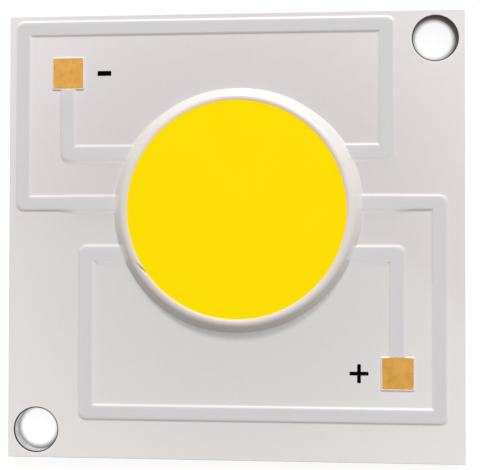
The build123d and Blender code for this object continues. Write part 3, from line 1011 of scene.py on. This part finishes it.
def makeBead():
    # the section carried round the ring, less its flaws and never below what it lies on. The points of its
    # underside come last in the section.
    sectionR, sectionZ = beadSection(beadLook["sectionSteps"])
    underR = np.array(beadLook["underRadii"])
    angles = beadAngles()[:, None]
    flat = np.zeros((len(angles), len(sectionR) + len(underR)))
    r = np.concatenate([sectionR, underR]) + flat
    z = np.concatenate([sectionZ, 0 * underR]) + flat
    angle = angles + flat
    visible = np.arange(flat.shape[1]) < len(sectionR) + flat
    r = r + beadSpread(angle) * smoothStep((r - beadLook["spreadFrom"]) / beadLook["spreadOver"])
    z = z - np.where(visible, beadFlaws(angle, r), 0)
    x, y = beadMiddle[0] + r * np.cos(angle), beadMiddle[1] + r * np.sin(angle)
    onMask = r > beadLook["maskEdge"]
    under = np.where(onMask, maskHeight(x, y) - beadLook["sink"], levels["copperBase"])
    z = np.where(visible, np.maximum(z, under), under)
    points, faces = loopSolid(x, y, z)
    replaced = ["dam_ring"]
    piece = addPiece("silicone_bead", points, faces, "dam_silicone", beadMaterial(), replaced, sharpAngle=50)
    # painted light: the warm colour and the glow fade with the distance from the fill's edge
    gap = np.maximum(r - fillEdge(angle), 0)
    addAttribute(piece, "nearFill", (np.exp(-gap / beadLook["warmReach"]) * visible).ravel())
    # painted shade along the crease
    line, ends = creaseLine(angle, r)
    paintedCreaseShade = creaseLook["paintedCreaseShadeStrength"] * bellCurve(r - line, creaseLook["paintedCreaseShadeWidth"]) * ends * visible
    addAttribute(piece, "paintedCreaseShade", np.clip(paintedCreaseShade, 0, 1).ravel())


makeBead()

# Phosphor fill, made after the bead that holds it


def fillMaterial():
    material, tree, shader = newMaterial("yellowPhosphor", specular=0.0)
    pattern = useGroup(tree, mottle, fillLook["pattern"])
    colour = rampBetween(tree, pattern.outputs["Tone"], fillLook["colour"], fillLook["colourLight"])
    colour = mixColour(tree, readAttribute(tree, "rim"), colour, (*fillLook["rim"], 1))
    tree.links.new(colour, shader.inputs["Base Color"])
    roughnessBetween(tree, shader, pattern.outputs["Tone"], *fillLook["roughness"])
    addBump(tree, shader, pattern.outputs["Height"], *fillLook["bump"])
    return material


def makeFill():
    # rings at even shares of the edge's radius, which rise to the bead by a fading exponential, then the
    # steps down to the insulation's window and the board, with a fan of triangles over each end
    angles = np.linspace(0, 2 * math.pi, fillLook["rounds"], endpoint=False)[:, None]
    edge = fillEdge(angles)
    share = np.concatenate([np.linspace(*ring) for ring in fillLook["rings"]])[None, :]
    topR = edge * share
    topZ = fillLevel(angles, topR)
    topZ = topZ + fillLook["meniscus"] * np.exp((topR - edge) / fillLook["meniscusWidth"])
    topR = topR + np.where(share == 1, fillLook["meniscus"], 0)
    flat = 0 * edge
    steps = (
        (innerFoot(), levels["copperBase"]),
        (windowRadius, levels["copperBase"]),
        (windowRadius, levels["baseTop"]),
        (fillLook["footRadius"], levels["baseTop"]),
    )
    r = np.concatenate([topR, *(flat + radius for radius, _ in steps)], axis=1)
    z = np.concatenate([topZ, *(flat + level for _, level in steps)], axis=1)
    x, y = beadMiddle[0] + r * np.cos(angles), beadMiddle[1] + r * np.sin(angles)
    number = np.arange(r.size).reshape(r.shape)
    ahead = np.roll(number, -1, axis=0)
    skin = np.stack([number[:, :-1], number[:, 1:], ahead[:, 1:], ahead[:, :-1]], axis=-1).reshape(-1, 4)
    middles = [[*beadMiddle, fillLook["level"]], [*beadMiddle, levels["baseTop"]]]
    points = np.concatenate([np.stack([x.ravel(), y.ravel(), z.ravel()], axis=1), middles])
    topFan = np.stack([np.full(len(r), r.size), number[:, 0], ahead[:, 0]], axis=1)
    bottomFan = np.stack([np.full(len(r), r.size + 1), ahead[:, -1], number[:, -1]], axis=1)
    faces = np.array(skin.tolist() + topFan.tolist() + bottomFan.tolist(), dtype=object)
    piece = addPiece("phosphor_disc", points, faces, "phosphor", fillMaterial(), ["phosphor_fill"])
    rim = np.zeros(r.shape)
    rim[:, : share.size] = np.exp((share - 1) * fillLook["rimFade"])
    addAttribute(piece, "rim", np.append(rim.ravel(), [0, 0]))


makeFill()

# CAD nodes that keep their own shape: copper, plated lands, chips, adhesive and bond wires

innerLooks = {
    "copper": {
        "dark": (0.62, 0.27, 0.14),
        "light": (0.80, 0.42, 0.25),
        "pattern": {"Cloud Size": 3.0, "Grain Size": 0.05, "Cloud Share": 0.5},
        "roughness": (0.3, 0.45),
        "bump": (0.5, 0.004),
        "metallic": 1.0,
    },
    "dieAdhesive": {
        "dark": (0.55, 0.56, 0.57),
        "light": (0.75, 0.76, 0.77),
        "pattern": {"Cloud Size": 0.4, "Grain Size": 0.04, "Cloud Share": 0.5},
        "roughness": (0.35, 0.5),
        "bump": (0.5, 0.002),
        "metallic": 0.0,
    },
    "emitterChip": {
        "dark": (0.30, 0.36, 0.45),
        "light": (0.45, 0.52, 0.60),
        "pattern": {"Cloud Size": 0.3, "Grain Size": 0.03, "Cloud Share": 0.5},
        "roughness": (0.12, 0.25),
        "bump": (0.5, 0.001),
        "metallic": 0.0,
    },
    "bondWire": {
        "dark": (0.78, 0.50, 0.14),
        "light": (0.92, 0.66, 0.28),
        "pattern": {"Cloud Size": 0.2, "Grain Size": 0.02, "Cloud Share": 0.5},
        "roughness": (0.2, 0.35),
        "bump": (0.5, 0.001),
        "metallic": 1.0,
    },
}
innerNodes = {
    "trace_": "copper",
    "land_plating_": "goldPlating",
    "die_attach_": "dieAdhesive",
    "led_dies_": "emitterChip",
    "bond_wires_": "bondWire",
}


def dressInnerNodes():
    # each node's name starts with the kind of piece that it is, and the kind has its material
    materials = {"goldPlating": goldMaterial}
    for name, look in innerLooks.items():
        materials[name] = simpleMaterial(name, look, metallic=look["metallic"])
    for name, node in frame["nodes"].items():
        for start, finish in innerNodes.items():
            if name.startswith(start):
                for place in node.material_slots:
                    place.material = materials[finish]


dressInnerNodes()
print("inner nodes dressed")

# Camera, lamps, world and floor

cameraLook = {
    # the view of the photograph: metres, radians and millimetres
    "place": (0.004425, -0.000811, 0.05613),
    "turn": (0.016098, 0.072555, 0.001728),
    "lens": 67.56,
    "sensor": 36,
    "nearest": 0.001,
}


def makeCamera():
    data = bpy.data.cameras.new("photoCamera")
    data.lens = cameraLook["lens"]
    data.sensor_width = cameraLook["sensor"]
    data.clip_start = cameraLook["nearest"]
    camera = bpy.data.objects.new("photoCamera", data)
    camera.location = cameraLook["place"]
    camera.rotation_euler = cameraLook["turn"]
    bpy.context.scene.collection.objects.link(camera)
    bpy.context.scene.camera = camera


makeCamera()

studioLook = {
    # each lamp: bearing from +X towards +Y, height above the board, half angle that it fills, and the light
    # that it puts on the flat board, of 1 in all
    "lamps": {
        "window": (math.radians(92), math.radians(29), math.radians(5), 0.26),
        "softBox": (math.radians(66), math.radians(43), math.radians(21), 0.41),
    },
    "distance": 1.2,
    "ambient": 0.33,
    "ambientColour": (1.0, 0.94, 0.90),
}


def makeLamp(name, bearing, height, halfAngle, share):
    # a disc lamp's power P gives the flat board P sin(height) cos^2(halfAngle) / (pi distance)^2, where 1
    # makes a white surface white
    distance = studioLook["distance"]
    data = bpy.data.lights.new(name, "AREA")
    data.shape = "DISK"
    data.size = 2 * distance * math.tan(halfAngle)
    data.energy = share * (math.pi * distance / math.cos(halfAngle)) ** 2 / math.sin(height)
    lamp = bpy.data.objects.new(name, data)
    level = math.cos(height) * distance
    lamp.location = (level * math.cos(bearing), level * math.sin(bearing), math.sin(height) * distance)
    lamp.rotation_euler = (0, math.pi / 2 - height, bearing)
    bpy.context.scene.collection.objects.link(lamp)


def shownDirectly(tree):
    # 1 for what the camera sees, straight or in a mirror or through glass, and 0 for the light on the object
    rays = addNode(tree, "ShaderNodeLightPath").outputs
    shown = calculate(tree, "MAXIMUM", rays["Is Camera Ray"], rays["Is Glossy Ray"])
    return calculate(tree, "MAXIMUM", shown, rays["Is Transmission Ray"])


def mixShaders(tree, share, first, second):
    return addNode(tree, "ShaderNodeMixShader", {0: share, 1: first.outputs[0], 2: second.outputs[0]})


def makeWorld():
    # white to look at, and a dimmer, warmer light on the object
    world = bpy.data.worlds.new("paleRoom")
    bpy.context.scene.world = world
    world.use_nodes = True
    tree = world.node_tree
    seen = tree.nodes["Background"]
    seen.inputs["Color"].default_value = (1, 1, 1, 1)
    seen.inputs["Strength"].default_value = 1.0
    values = {"Color": (*studioLook["ambientColour"], 1), "Strength": studioLook["ambient"]}
    light = addNode(tree, "ShaderNodeBackground", values)
    mix = mixShaders(tree, shownDirectly(tree), light, seen)
    tree.links.new(mix.outputs[0], tree.nodes["World Output"].inputs["Surface"])


floorLook = {
    "level": -0.02,  # just clear of the board's back, so that the two never lie in one plane
    "halfSize": 1000.0,
    "dark": (0.14, 0.14, 0.14),
    "light": (0.17, 0.17, 0.17),
    "pattern": {"Cloud Size": 300.0, "Grain Size": 5.0, "Cloud Share": 0.5},
    "roughness": 0.9,
    "bounce": (0.8, 0.8, 0.8),  # the colour by which it lights the object
    "glow": 0.91,
    # painted shadow: inside the two holes the glow falls off with the distance from a place near the hole's
    # middle
    "shadeShift": {"lowerLeft": (-0.12, 0.0), "upperRight": (0.07, 0.12)},
    "shadeFrom": 0.98,
    "shadeTo": 1.42,
    "shadeEnd": 1.56,
    "shadeLeft": 0.05,
}


def paintedHoleShade(tree):
    # the floor's glow with a painted shadow in the holes: full inside the shade's start, a smooth step down
    # to what is left at its end, and full again outside the hole
    look = floorLook
    place = addNode(tree, "ShaderNodeTexCoord").outputs["Object"]
    nearest = look["halfSize"] * mm
    for hole in holePlaces:
        shift = look["shadeShift"]["upperRight" if hole[0] > 0 else "lowerLeft"]
        foot = (*((hole[:2] + shift) * mm), 0)
        reach = addNode(tree, "ShaderNodeVectorMath", {0: place, 1: foot}, operation="DISTANCE")
        nearest = calculate(tree, "MINIMUM", reach.outputs["Value"], nearest)
    values = {"Value": nearest, "To Min": look["glow"], "To Max": look["glow"] * look["shadeLeft"]}
    values |= {"From Min": look["shadeFrom"] * mm, "From Max": look["shadeTo"] * mm}
    shade = addNode(tree, "ShaderNodeMapRange", values, interpolation_type="SMOOTHSTEP")
    outside = calculate(tree, "GREATER_THAN", nearest, look["shadeEnd"] * mm)
    glow = addNode(tree, "ShaderNodeMix", {0: outside, 2: shade.outputs["Result"], 3: look["glow"]})
    return glow.outputs[0]


def makeFloor():
    # a glowing sheet that takes the object's shadow and, inside the holes, a painted shadow, seen from above
    # only, so that the board's back shows from below
    size, level = floorLook["halfSize"] * mm, floorLook["level"] * mm
    mesh = bpy.data.meshes.new("paleFloor")
    corners = [(-size, -size, level), (size, -size, level), (size, size, level), (-size, size, level)]
    mesh.from_pydata(corners, [], [(0, 1, 2, 3)])
    floor = bpy.data.objects.new("paleFloor", mesh)
    bpy.context.scene.collection.objects.link(floor)
    material, tree, shader = newMaterial("paleFloor", specular=0.0)
    shader.inputs["Roughness"].default_value = floorLook["roughness"]
    pattern = useGroup(tree, mottle, floorLook["pattern"])
    colour = rampBetween(tree, pattern.outputs["Tone"], floorLook["dark"], floorLook["light"])
    tree.links.new(colour, shader.inputs["Base Color"])
    glow = addNode(tree, "ShaderNodeEmission", {"Strength": paintedHoleShade(tree)})
    seen = addNode(tree, "ShaderNodeAddShader", {0: shader.outputs[0], 1: glow.outputs[0]})
    bounce = addNode(tree, "ShaderNodeBsdfDiffuse", {"Color": (*floorLook["bounce"], 1)})
    surface = mixShaders(tree, shownDirectly(tree), bounce, seen)
    below = addNode(tree, "ShaderNodeNewGeometry").outputs["Backfacing"]
    surface = mixShaders(tree, below, surface, addNode(tree, "ShaderNodeBsdfTransparent"))
    tree.links.new(surface.outputs[0], tree.nodes["Material Output"].inputs["Surface"])
    mesh.materials.append(material)


for lampName, lampValues in studioLook["lamps"].items():
    makeLamp(lampName, *lampValues)
makeWorld()
makeFloor()
print("camera, lamps, world and floor made")

bpy.context.scene.view_settings.view_transform = "Standard"
print("scene made")
